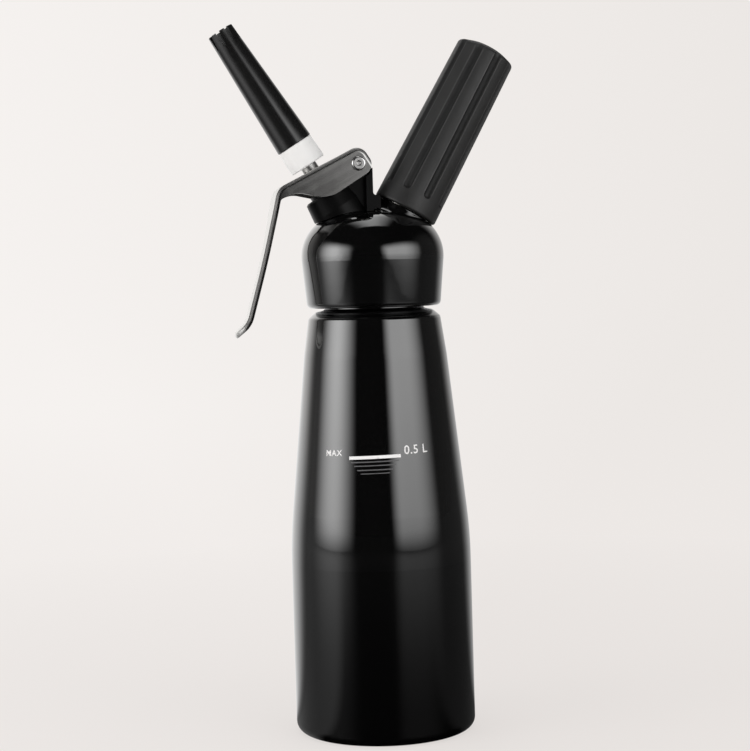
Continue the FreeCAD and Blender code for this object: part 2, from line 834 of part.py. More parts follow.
def make_charger_port():
    """Threaded stud in the port boss, with the piercing pin in its holder and the seals round it."""
    flange_foot = boss_top + running_gap
    port = turned([
        (pin_holder_r + fit_gap, port_foot),
        (port_root_r, port_foot, 0.5),
        (port_root_r, flange_foot),
        (port_flange_r, flange_foot, 0.3),
        (port_flange_r, flange_foot + port_flange_thickness, 0.4),
        (stud_r, flange_foot + port_flange_thickness),
        (stud_r, stud_top, 0.8),
        (neck_socket_r, stud_top, 0.5),
        (neck_socket_r, seal_shelf),
        (pin_holder_r + fit_gap, seal_shelf),
    ])
    parts["charger_port"] = lean_to_charger(port)
    parts["port_o_ring"] = lean_to_charger(ring(port_ring_r, port_ring_wire_r,
                                                boss_top - port_ring_wire_r + running_gap / 2))
    holder = turned([
        (piercing_pin_r, port_foot),
        (pin_holder_r, port_foot, 0.4),
        (pin_holder_r, seal_shelf - running_gap, 0.3),
        (piercing_pin_r, seal_shelf - running_gap),
    ])
    parts["pin_holder"] = lean_to_charger(holder)
    pin = turned([
        (0.5, port_foot + 0.4),
        (piercing_pin_r - 0.01, port_foot + 0.4),
        (piercing_pin_r - 0.01, piercing_pin_top - 2.2),
        (0.55, piercing_pin_top),
        (0.5, piercing_pin_top),
    ])
    parts["piercing_pin"] = lean_to_charger(pin)
    seal = tube(charger_seal_r, piercing_pin_r + 0.4, seal_shelf + running_gap,
                seal_shelf + running_gap + charger_seal_thickness, 0.3)
    parts["charger_seal"] = lean_to_charger(seal)
    sleeve_top = sleeve_pocket_top - seat_gap
    sleeve = turned([
        (gas_passage_r, sleeve_top),
        (sleeve_r, sleeve_top),
        (sleeve_r, sleeve_top - 1.6),
        (2.6, sleeve_top - 1.6, 0.5),
        (1.6, sleeve_top - sleeve_length),
        (0, sleeve_top - sleeve_length),
        (0, sleeve_top - sleeve_length + 0.8),
        (0.9, sleeve_top - sleeve_length + 0.8),
    ])
    parts["check_valve_sleeve"] = lean_to_charger(sleeve)


def make_gas_charger():
    """Hollow steel gas capsule, neck down on the charger seal, with the hole that the pin has pierced."""
    neck_top = charger_tip + charger_neck_length
    side = [
        (charger_neck_r, charger_tip, 0.8),
        (charger_neck_r, neck_top, 3.0),
        (charger_r, neck_top + charger_shoulder, 7.0),
        (charger_r, charger_top, charger_r - 0.6),
        (0, charger_top),
    ]
    inside = shifted(side, charger_wall)
    capsule = turned([
        (pierced_hole_r, charger_tip),
        *side,
        inside[4],
        inside[3],
        inside[2],
        inside[1],
        (inside[0][0], charger_tip + charger_cap),
        (pierced_hole_r, charger_tip + charger_cap),
    ])
    parts["gas_charger"] = lean_to_charger(capsule)


def make_charger_holder():
    """Grooved plastic cup with a threaded metal sleeve at its mouth and a pad at its closed end."""
    skirt_r = port_flange_r + shell_gap
    insert_top = insert_foot + insert_length
    holder = turned([
        (0, holder_bore_top),
        (holder_bore_r, holder_bore_top, bore_end_round),
        (holder_bore_r, insert_top),
        (insert_out_r + running_gap, insert_top),
        (insert_out_r + running_gap, insert_foot - 0.4),
        (skirt_r, insert_foot - 0.4),
        (skirt_r, holder_foot),
        (holder_foot_r, holder_foot, 1.0),
        (holder_top_r, holder_edge, holder_edge_round),
        (holder_top_r * 0.5, holder_top, 16),
        (0, holder_top),
    ])
    rise = holder_edge - holder_foot
    lean = math.degrees(math.atan((holder_foot_r - holder_top_r) / rise))
    groove_length = holder_top + 5 - groove_start
    capsule = Part.makeCylinder(groove_cutter_r, groove_length).fuse(Part.makeSphere(groove_cutter_r))
    capsule.rotate(ORIGIN, V(0, 1, 0), -lean)
    start_r = holder_foot_r - (groove_start - holder_foot) * math.tan(math.radians(lean))
    capsule.translate(V(start_r + groove_cutter_r - groove_depth, 0, groove_start + groove_cutter_r))
    grooves = []
    for k in range(holder_grooves):
        one = capsule.copy()
        one.rotate(ORIGIN, UP, groove_turn + 360 * k / holder_grooves)
        grooves.append(one)
    parts["charger_holder"] = lean_to_charger(holder.cut(grooves))
    insert = tube(insert_out_r, insert_in_r, insert_foot, insert_top - running_gap, 0.2)
    parts["holder_insert"] = lean_to_charger(insert)
    pad = turned([
        (0, pad_foot),
        (holder_bore_r - 0.3, pad_foot, 0.4),
        (holder_bore_r - 0.3, pad_foot + pad_thickness, bore_end_round + 0.2),
        (0, pad_foot + pad_thickness),
    ])
    parts["holder_pad"] = lean_to_charger(pad)


make_bottle()
make_head_gasket()
make_head()
make_valve()
make_bracket()
make_lever()
make_pin()
make_nozzle()
make_charger_port()
make_gas_charger()
make_charger_holder()

os.makedirs("parts", exist_ok=True)
for name, shape in parts.items():
    shape.exportStep(f"parts/{name}.step")
    print(f"{name:20s} solids {len(shape.Solids)} valid {shape.isValid()} {shape.Volume / 1000:8.3f} cm3")
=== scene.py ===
import json
import math
import bmesh
import bpy
from mathutils import Matrix, Quaternion, Vector
from mathutils.bvhtree import BVHTree


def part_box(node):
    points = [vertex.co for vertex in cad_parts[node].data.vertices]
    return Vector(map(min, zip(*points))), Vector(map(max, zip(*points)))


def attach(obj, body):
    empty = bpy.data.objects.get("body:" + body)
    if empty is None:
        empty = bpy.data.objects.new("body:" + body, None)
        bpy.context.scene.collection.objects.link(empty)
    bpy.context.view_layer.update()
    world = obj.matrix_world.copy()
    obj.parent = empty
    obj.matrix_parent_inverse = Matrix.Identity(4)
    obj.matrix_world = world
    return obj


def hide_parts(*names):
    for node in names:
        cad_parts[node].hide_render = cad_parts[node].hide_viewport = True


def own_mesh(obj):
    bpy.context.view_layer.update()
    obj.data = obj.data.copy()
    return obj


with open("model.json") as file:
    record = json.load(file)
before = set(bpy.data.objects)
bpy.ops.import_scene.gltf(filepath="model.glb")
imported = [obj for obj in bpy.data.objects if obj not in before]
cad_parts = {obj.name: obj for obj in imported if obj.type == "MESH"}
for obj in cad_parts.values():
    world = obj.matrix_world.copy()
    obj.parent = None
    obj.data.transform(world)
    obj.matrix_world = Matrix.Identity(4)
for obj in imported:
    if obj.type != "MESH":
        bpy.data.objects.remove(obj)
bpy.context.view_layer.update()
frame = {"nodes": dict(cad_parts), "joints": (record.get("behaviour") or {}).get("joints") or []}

cad_nodes = frame["nodes"]


# Floor and studio light. A pale floor runs back without a horizon and keeps the soft shadow of the dispenser.
# Gloss sees a dark room with two softboxes, a panel overhead and the pale backdrop, as black lacquer needs.
pale_left = (0.915, 0.885, 0.865, 1)
pale_right = (0.838, 0.805, 0.782, 1)
pale_near = (0.850, 0.812, 0.790, 1)
floor_half = 30
front_in_gloss, backdrop_in_gloss = 0.012, 0.97
floor_in_gloss = 0.75
aim = Vector((0, 0, 0.16))


def new_material(name):
    """An empty node material with its output."""
    material = bpy.data.materials.new(name)
    material.use_nodes = True
    material.node_tree.nodes.clear()
    output = material.node_tree.nodes.new("ShaderNodeOutputMaterial")
    return material, material.node_tree.nodes, material.node_tree.links, output


def maths(nodes, links, operation, *values):
    """A Math node; a value is a number or a socket."""
    node = nodes.new("ShaderNodeMath")
    node.operation = operation
    for index, value in enumerate(values):
        if isinstance(value, (int, float)):
            node.inputs[index].default_value = value
        else:
            links.new(value, node.inputs[index])
    return node.outputs["Value"]


def ramp(nodes, links, value, start, end, low=0.0, high=1.0, curve="SMOOTHSTEP"):
    """A value that goes from low at start to high at end."""
    node = nodes.new("ShaderNodeMapRange")
    node.interpolation_type = curve
    node.inputs["From Min"].default_value = start
    node.inputs["From Max"].default_value = end
    node.inputs["To Min"].default_value = low
    node.inputs["To Max"].default_value = high
    links.new(value, node.inputs["Value"])
    return node.outputs["Result"]


def parts_of(nodes, links, direction):
    """X, Y and Z of a direction, at a length of 1."""
    ahead = nodes.new("ShaderNodeVectorMath")
    ahead.operation = "NORMALIZE"
    links.new(direction, ahead.inputs[0])
    split = nodes.new("ShaderNodeSeparateXYZ")
    links.new(ahead.outputs["Vector"], split.inputs["Vector"])
    return split.outputs


def backdrop_colour(nodes, links, direction):
    """The backdrop's colour for a direction from the dispenser, painted paler on the left where more light
    falls.
    """
    left_end, right_end = -0.06, 0.33
    blend = nodes.new("ShaderNodeMix")
    blend.data_type = "RGBA"
    blend.inputs["A"].default_value = pale_left
    blend.inputs["B"].default_value = pale_right
    side = ramp(nodes, links, parts_of(nodes, links, direction)["X"], left_end, right_end, curve="LINEAR")
    links.new(side, blend.inputs["Factor"])
    return blend.outputs["Result"]


def studio_in_gloss(nodes, links, direction, front, back):
    """How bright the studio is in gloss: dark in front, dim at the sides, pale behind, most on the left."""
    backdrop_edge, backdrop_full = 0.42, 0.84
    pale_end, dull_end, dull_share = -0.2, 0.5, 0.5
    left_edge, left_full, left_glow = -0.80, -0.93, 0.17
    right_edge, right_full, right_glow = 0.75, 0.92, 0.045
    ahead = parts_of(nodes, links, direction)
    behind = ramp(nodes, links, ahead["Y"], backdrop_edge, backdrop_full, front, back)
    evenness = ramp(nodes, links, ahead["X"], pale_end, dull_end, 1.0, dull_share)
    behind = maths(nodes, links, "MULTIPLY", behind, evenness)
    left = ramp(nodes, links, ahead["X"], left_edge, left_full, 0.0, left_glow)
    right = ramp(nodes, links, ahead["X"], right_edge, right_full, 0.0, right_glow)
    return maths(nodes, links, "ADD", behind, maths(nodes, links, "ADD", left, right))


mesh = bpy.data.meshes.new("floor")
bm = bmesh.new()
bmesh.ops.create_grid(bm, x_segments=1, y_segments=1, size=floor_half)
bm.to_mesh(mesh)
bm.free()
floor = bpy.data.objects.new("floor", mesh)
bpy.context.scene.collection.objects.link(floor)

near_tone, far_tone = -1.2, 2.6
shadow_end, shadow_full, shadow_share = 0.60, 0.12, 0.25
sheen_start, sheen_full, sheen_near, sheen_far = 0.05, 0.90, 0.02, 0.27

material, nodes, links, output = new_material("pale_floor")
where = nodes.new("ShaderNodeTexCoord")
place = where.outputs["Object"]
from_foot = nodes.new("ShaderNodeVectorMath")
from_foot.operation = "LENGTH"
links.new(place, from_foot.inputs[0])
paper_colour = nodes.new("ShaderNodeMix")
paper_colour.data_type = "RGBA"
paper_colour.inputs["A"].default_value = pale_near
links.new(backdrop_colour(nodes, links, place), paper_colour.inputs["B"])
distance = from_foot.outputs["Value"]
links.new(ramp(nodes, links, distance, near_tone, far_tone, curve="SMOOTHERSTEP"),
          paper_colour.inputs["Factor"])
glow = nodes.new("ShaderNodeEmission")
links.new(paper_colour.outputs["Result"], glow.inputs["Color"])
paper = nodes.new("ShaderNodeBsdfDiffuse")
links.new(paper_colour.outputs["Result"], paper.inputs["Color"])
seen = nodes.new("ShaderNodeMixShader")
links.new(ramp(nodes, links, distance, shadow_end, shadow_full, 0.0, shadow_share, "LINEAR"),
          seen.inputs["Fac"])
links.new(glow.outputs["Emission"], seen.inputs[1])
links.new(paper.outputs["BSDF"], seen.inputs[2])
sheen = nodes.new("ShaderNodeBsdfGlossy")
sheen.inputs["Roughness"].default_value = 0.32
links.new(ramp(nodes, links, distance, sheen_start, sheen_full, sheen_near, sheen_far),
          sheen.inputs["Color"])
pale = nodes.new("ShaderNodeEmission")
floor_gloss = studio_in_gloss(nodes, links, place, 0.0, backdrop_in_gloss)
links.new(maths(nodes, links, "MULTIPLY", floor_gloss, floor_in_gloss), pale.inputs["Strength"])
table = nodes.new("ShaderNodeAddShader")
links.new(sheen.outputs["BSDF"], table.inputs[0])
links.new(pale.outputs["Emission"], table.inputs[1])
path = nodes.new("ShaderNodeLightPath")
unseen = nodes.new("ShaderNodeMixShader")
links.new(path.outputs["Is Glossy Ray"], unseen.inputs["Fac"])
links.new(paper.outputs["BSDF"], unseen.inputs[1])
links.new(table.outputs["Shader"], unseen.inputs[2])
choice = nodes.new("ShaderNodeMixShader")
links.new(path.outputs["Is Camera Ray"], choice.inputs["Fac"])
links.new(unseen.outputs["Shader"], choice.inputs[1])
links.new(seen.outputs["Shader"], choice.inputs[2])
links.new(choice.outputs["Shader"], output.inputs["Surface"])
floor.data.materials.append(material)

world = bpy.data.worlds.new("studio")
bpy.context.scene.world = world
world.use_nodes = True
nodes, links = world.node_tree.nodes, world.node_tree.links
nodes.clear()
output = nodes.new("ShaderNodeOutputWorld")
towards = nodes.new("ShaderNodeTexCoord")
mirrored = nodes.new("ShaderNodeBackground")
mirrored.inputs["Color"].default_value = (1.0, 0.985, 0.97, 1)
room_gloss = studio_in_gloss(nodes, links, towards.outputs["Generated"], front_in_gloss, backdrop_in_gloss)
links.new(room_gloss, mirrored.inputs["Strength"])
fill = nodes.new("ShaderNodeBackground")
fill.inputs["Color"].default_value = (1.0, 0.99, 0.98, 1)
fill.inputs["Strength"].default_value = 0.55
backdrop = nodes.new("ShaderNodeBackground")
links.new(backdrop_colour(nodes, links, towards.outputs["Generated"]), backdrop.inputs["Color"])
path = nodes.new("ShaderNodeLightPath")
unseen = nodes.new("ShaderNodeMixShader")
links.new(path.outputs["Is Glossy Ray"], unseen.inputs["Fac"])
links.new(fill.outputs["Background"], unseen.inputs[1])
links.new(mirrored.outputs["Background"], unseen.inputs[2])
choice = nodes.new("ShaderNodeMixShader")
links.new(path.outputs["Is Camera Ray"], choice.inputs["Fac"])
links.new(unseen.outputs["Shader"], choice.inputs[1])
links.new(backdrop.outputs["Background"], choice.inputs[2])
links.new(choice.outputs["Shader"], output.inputs["Surface"])


def softbox(name, azimuth, elevation, distance, width, height, radiance, sides, foot, low, top):
    """A rectangular lamp that looks at the dispenser from an azimuth, 0 in front and 90 on the right.

    sides and top are the shares of it that its edges fade over. foot is where it starts to brighten, where
    it is at full strength, and what it gives below that. low is how bright its lower part is.
    """
    lower_part = (0.1, 0.45)
    lamp = bpy.data.lights.new(name, "AREA")
    lamp.shape = "RECTANGLE"
    lamp.size = width
    lamp.size_y = height
    lamp.energy = radiance * math.pi * width * height
    lamp.use_nodes = True
    nodes, links = lamp.node_tree.nodes, lamp.node_tree.links
    nodes.clear()
    across = nodes.new("ShaderNodeSeparateXYZ")
    links.new(nodes.new("ShaderNodeNewGeometry").outputs["Parametric"], across.inputs["Vector"])
    strength = ramp(nodes, links, across.outputs["X"], 0.0, sides[0])
    fades = (("X", (1.0, 1.0 - sides[1])), ("Y", foot), ("Y", (*lower_part, low)), ("Y", (1.0, 1.0 - top)))
    for axis, limits in fades:
        fade = ramp(nodes, links, across.outputs[axis], *limits)
        strength = maths(nodes, links, "MULTIPLY", strength, fade)
    glow = nodes.new("ShaderNodeEmission")
    links.new(strength, glow.inputs["Strength"])
    links.new(glow.outputs["Emission"], nodes.new("ShaderNodeOutputLight").inputs["Surface"])
    turn, tilt = math.radians(azimuth), math.radians(elevation)
    back = Vector((math.sin(turn) * math.cos(tilt), -math.cos(turn) * math.cos(tilt), math.sin(tilt)))
    stand = bpy.data.objects.new(name, lamp)
    stand.location = aim + back * distance
    stand.rotation_euler = (-back).to_track_quat("-Z", "Y").to_euler()
    bpy.context.scene.collection.objects.link(stand)


softbox("left_softbox", azimuth=-72, elevation=13.5, distance=1.05, width=1.46, height=0.876, radiance=3.15,
        sides=(0.5, 0.5), foot=(-0.01, 0.17, 0.17), low=0.7, top=0.41)
softbox("right_softbox", azimuth=42, elevation=13.5, distance=1.05, width=1.60, height=0.876, radiance=2.2,
        sides=(0.25, 0.5), foot=(-0.01, 0.17, 0.10), low=0.58, top=0.41)
softbox("top_panel", azimuth=0, elevation=108, distance=1.17, width=0.90, height=1.20, radiance=1.35,
        sides=(0.5, 0.5), foot=(0.0, 0.1, 0.9), low=0.7, top=0.08)

camera_roll = math.radians(-1.695)
camera = bpy.data.cameras.new("camera")
camera.lens = 91.05
tripod = bpy.data.objects.new("camera", camera)
tripod.location = (-0.11551, -0.82192, 0.1993)
target = Vector((-0.000443, -0.000062, 0.1554))
turn = (target - tripod.location).to_track_quat("-Z", "Y") @ Quaternion((0, 0, 1), camera_roll)
tripod.rotation_euler = turn.to_euler()
bpy.context.scene.collection.objects.link(tripod)
bpy.context.scene.camera = tripod
bpy.context.scene.view_settings.view_transform = "Standard"


# Bottle: seamless aluminium, necked in at the top and lacquered in glossy black outside. The lacquer has a
# trace of orange peel and uneven gloss where hands have wiped it. Inside it is bare metal with fine lines.
mm = 0.001


def new_group(name, inputs, outputs):
    """An empty shader node group; a socket called Position is a vector, any other a number."""
    group = bpy.data.node_groups.new(name, "ShaderNodeTree")
    for way, sockets in (("INPUT", inputs), ("OUTPUT", outputs)):
        for socket in sockets:
            kind = "NodeSocketVector" if socket == "Position" else "NodeSocketFloat"
            group.interface.new_socket(socket, in_out=way, socket_type=kind)
    given, result = group.nodes.new("NodeGroupInput"), group.nodes.new("NodeGroupOutput")
    return group.nodes, group.links, given, result


def place_group(nodes, name, **values):
    """Put a group into a material and set its plain inputs."""
    placed = nodes.new("ShaderNodeGroup")
    placed.node_tree = bpy.data.node_groups[name]
    for socket, value in values.items():
        placed.inputs[socket].default_value = value
    return placed


def noise(nodes, links, position, scale, detail):
    """The values of a noise that is fixed to a position."""
    node = nodes.new("ShaderNodeTexNoise")
    node.inputs["Scale"].default_value = scale
    node.inputs["Detail"].default_value = detail
    links.new(position, node.inputs["Vector"])
    return node.outputs["Fac"]


# Group: gloss between the two values Low and High, in soft patches with small wipe marks in them.
nodes, links, given, result = new_group("handled_gloss", ["Position", "Low", "High"], ["Roughness"])
patch_scale, speck_scale, speck_share = 31, 260, 0.35
noise_low, noise_high = 0.36, 0.64
patches = noise(nodes, links, given.outputs["Position"], patch_scale, detail=3)
specks = noise(nodes, links, given.outputs["Position"], speck_scale, detail=4)
patches = maths(nodes, links, "MULTIPLY", patches, 1 - speck_share)
mixed = maths(nodes, links, "MULTIPLY_ADD", specks, speck_share, patches)
level = nodes.new("ShaderNodeMapRange")
level.inputs["From Min"].default_value = noise_low
level.inputs["From Max"].default_value = noise_high
links.new(mixed, level.inputs["Value"])
links.new(given.outputs["Low"], level.inputs["To Min"])
links.new(given.outputs["High"], level.inputs["To Max"])
links.new(level.outputs["Result"], result.inputs["Roughness"])

# Group: fine lines round the Z axis, as a lathe or a drawing die leaves them, on walls and on faces.
nodes, links, given, result = new_group("turned_lines", ["Position", "Scale"], ["Height"])
split = nodes.new("ShaderNodeSeparateXYZ")
links.new(given.outputs["Position"], split.inputs["Vector"])
squares = [maths(nodes, links, "POWER", split.outputs[axis], 2.0) for axis in "XY"]
across = maths(nodes, links, "SQRT", maths(nodes, links, "ADD", *squares))
flat = nodes.new("ShaderNodeCombineXYZ")
links.new(across, flat.inputs["X"])
links.new(split.outputs["Z"], flat.inputs["Y"])
lines = nodes.new("ShaderNodeTexNoise")
lines.noise_dimensions = "2D"
lines.inputs["Detail"].default_value = 3
links.new(flat.outputs["Vector"], lines.inputs["Vector"])
links.new(given.outputs["Scale"], lines.inputs["Scale"])
links.new(lines.outputs["Fac"], result.inputs["Height"])


def lacquer(name, colour, bare_r, bare_top, hollow):
    """Glossy black lacquer on metal that is bare within bare_r below bare_top.

    With hollow, it is bare on every wall that faces its axis, and within bare_r on what faces up.
    """
    slightly_inwards = -0.0005
    fairly_up = 0.2
    bare_metal = (0.62, 0.62, 0.63, 1)
    peel_scale, peel_share = 420, 0.12
    line_roughness, bare_roughness = 0.3, 0.2
    material, nodes, links, output = new_material(name)
    where = nodes.new("ShaderNodeTexCoord")
    place = where.outputs["Object"]
    split = nodes.new("ShaderNodeSeparateXYZ")
    links.new(place, split.inputs["Vector"])
    beside = nodes.new("ShaderNodeCombineXYZ")
    links.new(split.outputs["X"], beside.inputs["X"])
    links.new(split.outputs["Y"], beside.inputs["Y"])
    from_axis = nodes.new("ShaderNodeVectorMath")
    from_axis.operation = "LENGTH"
    links.new(beside.outputs["Vector"], from_axis.inputs[0])
    within = maths(nodes, links, "LESS_THAN", from_axis.outputs["Value"], bare_r)
    below = maths(nodes, links, "LESS_THAN", split.outputs["Z"], bare_top)
    bare = maths(nodes, links, "MULTIPLY", within, below)
    if hollow:
        outwards = nodes.new("ShaderNodeVectorMath")
        outwards.operation = "DOT_PRODUCT"
        links.new(where.outputs["Normal"], outwards.inputs[0])
        links.new(beside.outputs["Vector"], outwards.inputs[1])
        inner_wall = maths(nodes, links, "LESS_THAN", outwards.outputs["Value"], slightly_inwards)
        upward = nodes.new("ShaderNodeSeparateXYZ")
        links.new(where.outputs["Normal"], upward.inputs["Vector"])
        faces_up = maths(nodes, links, "GREATER_THAN", upward.outputs["Z"], fairly_up)
        inner_floor = maths(nodes, links, "MULTIPLY", bare, faces_up)
        bare = maths(nodes, links, "MAXIMUM", inner_wall, inner_floor)
    tint = nodes.new("ShaderNodeMix")
    tint.data_type = "RGBA"
    tint.inputs["A"].default_value = colour
    tint.inputs["B"].default_value = bare_metal
    links.new(bare, tint.inputs["Factor"])
    gloss = place_group(nodes, "handled_gloss", Low=0.03, High=0.09)
    links.new(place, gloss.inputs["Position"])
    drawn = place_group(nodes, "turned_lines", Scale=2600)
    links.new(place, drawn.inputs["Position"])
    roughness = nodes.new("ShaderNodeMix")
    links.new(bare, roughness.inputs["Factor"])
    links.new(gloss.outputs["Roughness"], roughness.inputs["A"])
    in_lines = maths(nodes, links, "MULTIPLY_ADD", drawn.outputs["Height"], line_roughness, bare_roughness)
    links.new(in_lines, roughness.inputs["B"])
    peel = maths(nodes, links, "MULTIPLY", noise(nodes, links, place, peel_scale, detail=1), peel_share)
    height = nodes.new("ShaderNodeMix")
    links.new(bare, height.inputs["Factor"])
    links.new(peel, height.inputs["A"])
    links.new(drawn.outputs["Height"], height.inputs["B"])
    bump = nodes.new("ShaderNodeBump")
    bump.inputs["Strength"].default_value = 0.3
    bump.inputs["Distance"].default_value = 0.04 * mm
    links.new(height.outputs["Result"], bump.inputs["Height"])
    shader = nodes.new("ShaderNodeBsdfPrincipled")
    shader.inputs["Specular IOR Level"].default_value = 1.0
    shader.inputs["Coat Roughness"].default_value = 0.03
    links.new(tint.outputs["Result"], shader.inputs["Base Color"])
    links.new(bare, shader.inputs["Metallic"])
    links.new(maths(nodes, links, "SUBTRACT", 1.0, bare), shader.inputs["Coat Weight"])
    links.new(roughness.outputs["Result"], shader.inputs["Roughness"])
    links.new(bump.outputs["Normal"], shader.inputs["Normal"])
    links.new(shader.outputs["BSDF"], output.inputs["Surface"])
    return material


def finish_node(name, material):
    """Give a CAD node its finish."""
    for slot in cad_nodes[name].material_slots:
        slot.material = material


lacquer_black = (0.0015, 0.0015, 0.0016, 1)
bottle_lacquer = lacquer("bottle_lacquer", lacquer_black, bare_r=35 * mm, bare_top=12 * mm, hollow=True)
finish_node("bottle", bottle_lacquer)

thread_steps = 72                         # to a turn
thread_root, thread_crest = 0.31, 0.15    # half the ridge's width, as shares of the pitch
thread_sunk = 0.06 * mm
thread_run_out = 1 / 6                    # of a turn, at each end
crease = math.radians(35)


def add_piece(name, bm, body, material):
    """Make a finished mesh an object that rides on a body."""
    mesh = bpy.data.meshes.new(name)
    bm.to_mesh(mesh)
    bm.free()
    mesh.materials.append(material)
    piece = bpy.data.objects.new(name, mesh)
    bpy.context.scene.collection.objects.link(piece)
    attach(piece, body)
    return piece


def add_thread(name, wall_r, crest_r, pitch, foot, top, place, body, material):
    """The ridge of a screw thread on a plain wall, with its ends run out into the wall."""
    wall_r -= thread_sunk * math.copysign(1, crest_r - wall_r)
    bm = bmesh.new()
    corners = ((wall_r, -thread_root), (crest_r, -thread_crest),
               (crest_r, thread_crest), (wall_r, thread_root))
    start = bm.faces.new([bm.verts.new((radius, 0, foot + share * pitch)) for radius, share in corners])
    steps = round(thread_steps * (top - foot) / pitch)
    bmesh.ops.spin(bm, geom=[start], cent=(0, 0, 0), axis=(0, 0, 1), dvec=(0, 0, pitch / thread_steps),
                   angle=math.tau * steps / thread_steps, steps=steps, use_merge=False)
    run_out = thread_steps * thread_run_out
    for index, vertex in enumerate(bm.verts):
        step = index // len(corners)
        share = min(1, step / run_out, (steps - step) / run_out)
        radius = vertex.co.xy.length
        vertex.co.xy *= (wall_r + (radius - wall_r) * share) / radius
    bmesh.ops.recalc_face_normals(bm, faces=bm.faces[:])
    # A ridge that stands inwards can come out of that inside out, with a volume below zero.
    if bm.calc_volume(signed=True) < 0:
        bmesh.ops.reverse_faces(bm, faces=bm.faces[:])
    for face in bm.faces:
        face.smooth = True
    bmesh.ops.transform(bm, matrix=place, verts=bm.verts[:])
    piece = add_piece(name, bm, body, material)
    piece.data.set_sharp_from_angle(angle=crease)


neck_r = 21.8 * mm
neck_pitch = 3.0 * mm
neck_thread_depth = 0.5 * mm
neck_thread_foot, neck_thread_top = 187.2 * mm, 196.2 * mm
add_thread("neck_thread", neck_r, neck_r + neck_thread_depth, neck_pitch, neck_thread_foot, neck_thread_top,
           Matrix(), "bottle_body", bottle_lacquer)


# Fill mark: a heavy white line with four fine grey ones under it and the words MAX and 0.5 L beside it. It is
# printed on the lacquer with matt ink, which stands a few hundredths of a millimetre proud.
mark_turn = math.radians(-100.4)
mark_r = 35.8 * mm
mark_slant = 0.024

# Lines as length, thickness and height, and words as text, size, place along the mark and height, all in mm.
heavy_line = ((22.3, 1.35, 122.9),)
fine_lines = ((20.6, 0.50, 121.0), (18.0, 0.46, 119.4), (15.2, 0.48, 117.6), (12.2, 0.38, 116.1))
mark_words = (("MAX", 3.6, -18.6, 123.9), ("0.5 L", 5.1, 18.3, 123.4))
letter_swell = 0.06 * mm
ink_proud = 0.04 * mm
ink_sunk = 0.02 * mm
ink_facet = 0.8 * mm
ink_specks = 900
ink_thin, ink_full = 0.26, 0.40
clear_of_bottle = 0.1
cut_reach = 1e-7


def ink(name, worn_colour, colour):
    """Matt printing ink, a little thin in specks."""
    material, nodes, links, output = new_material(name)
    where = nodes.new("ShaderNodeTexCoord")
    cover = nodes.new("ShaderNodeMix")
    cover.data_type = "RGBA"
    cover.inputs["A"].default_value = (*worn_colour, 1)
    cover.inputs["B"].default_value = (*colour, 1)
    specks = noise(nodes, links, where.outputs["Object"], ink_specks, detail=3)
    links.new(ramp(nodes, links, specks, ink_thin, ink_full), cover.inputs["Factor"])
    gloss = place_group(nodes, "handled_gloss", Low=0.35, High=0.55)
    links.new(where.outputs["Object"], gloss.inputs["Position"])
    shader = nodes.new("ShaderNodeBsdfPrincipled")
    links.new(cover.outputs["Result"], shader.inputs["Base Color"])
    links.new(gloss.outputs["Roughness"], shader.inputs["Roughness"])
    links.new(shader.outputs["BSDF"], output.inputs["Surface"])
    return material


white_ink = ink("white_ink", (0.60, 0.60, 0.61), (0.93, 0.93, 0.93))
grey_ink = ink("grey_ink", (0.06, 0.06, 0.062), (0.115, 0.115, 0.12))

bottle_skin = bmesh.new()
bottle_skin.from_mesh(cad_nodes["bottle"].data)
bottle_tree = BVHTree.FromBMesh(bottle_skin)
bottle_skin.free()


def add_print(name, bm, material):
    """Lay a flat design on the bottle, X round it from the middle of the mark and Y up it, and thicken it."""
    bm.normal_update()
    bmesh.ops.reverse_faces(bm, faces=[face for face in bm.faces if face.normal.z < 0])
    start = min(vertex.co.x for vertex in bm.verts)
    end = max(vertex.co.x for vertex in bm.verts)
    for cut in range(1, math.ceil((end - start) / ink_facet)):
        bmesh.ops.bisect_plane(bm, geom=bm.verts[:] + bm.edges[:] + bm.faces[:], dist=cut_reach,
                               plane_co=(start + cut * ink_facet, 0, 0), plane_no=(1, 0, 0))
    for vertex in bm.verts:
        turn = mark_turn + vertex.co.x / mark_r
        height = vertex.co.y + vertex.co.x * mark_slant
        outwards = Vector((math.cos(turn), math.sin(turn), 0))
        beside_bottle = outwards * clear_of_bottle + Vector((0, 0, height))
        skin, normal, *_ = bottle_tree.ray_cast(beside_bottle, -outwards)
        vertex.co = skin - normal * ink_sunk
    piece = add_piece(name, bm, "bottle_body", material)
    depth = piece.modifiers.new("ink", "SOLIDIFY")
    depth.thickness = ink_proud + ink_sunk
    depth.offset = 1


for name, lines, material in (("fill_mark_line", heavy_line, white_ink),
                              ("fill_mark_fine_lines", fine_lines, grey_ink)):
    bm = bmesh.new()
    for length, thickness, height in lines:
        line = bmesh.ops.create_grid(bm, x_segments=1, y_segments=1, size=0.5)["verts"]
        bmesh.ops.scale(bm, vec=(length * mm, thickness * mm, 1), verts=line)
        bmesh.ops.translate(bm, vec=(0, height * mm, 0), verts=line)
    add_print(name, bm, material)

for number, (words, size, along, height) in enumerate(mark_words, 1):
    letters = bpy.data.curves.new("fill_mark_words", "FONT")
    letters.body = words
    letters.size = size * mm
    letters.align_x = "CENTER"
    letters.space_character = 1.1
    letters.offset = letter_swell
    written = bpy.data.objects.new("fill_mark_words", letters)
    bm = bmesh.new()
    bm.from_mesh(bpy.data.meshes.new_from_object(written))
    bpy.data.objects.remove(written)
    bmesh.ops.translate(bm, vec=(along * mm, height * mm, 0), verts=bm.verts[:])
    add_print(f"fill_mark_words_{number}", bm, white_ink)


# Head gasket: a ring moulded from translucent silicone, which the head presses on the mouth of the bottle.
# It is soft and matt, with a fine moulded grain.
mould_patches = 70


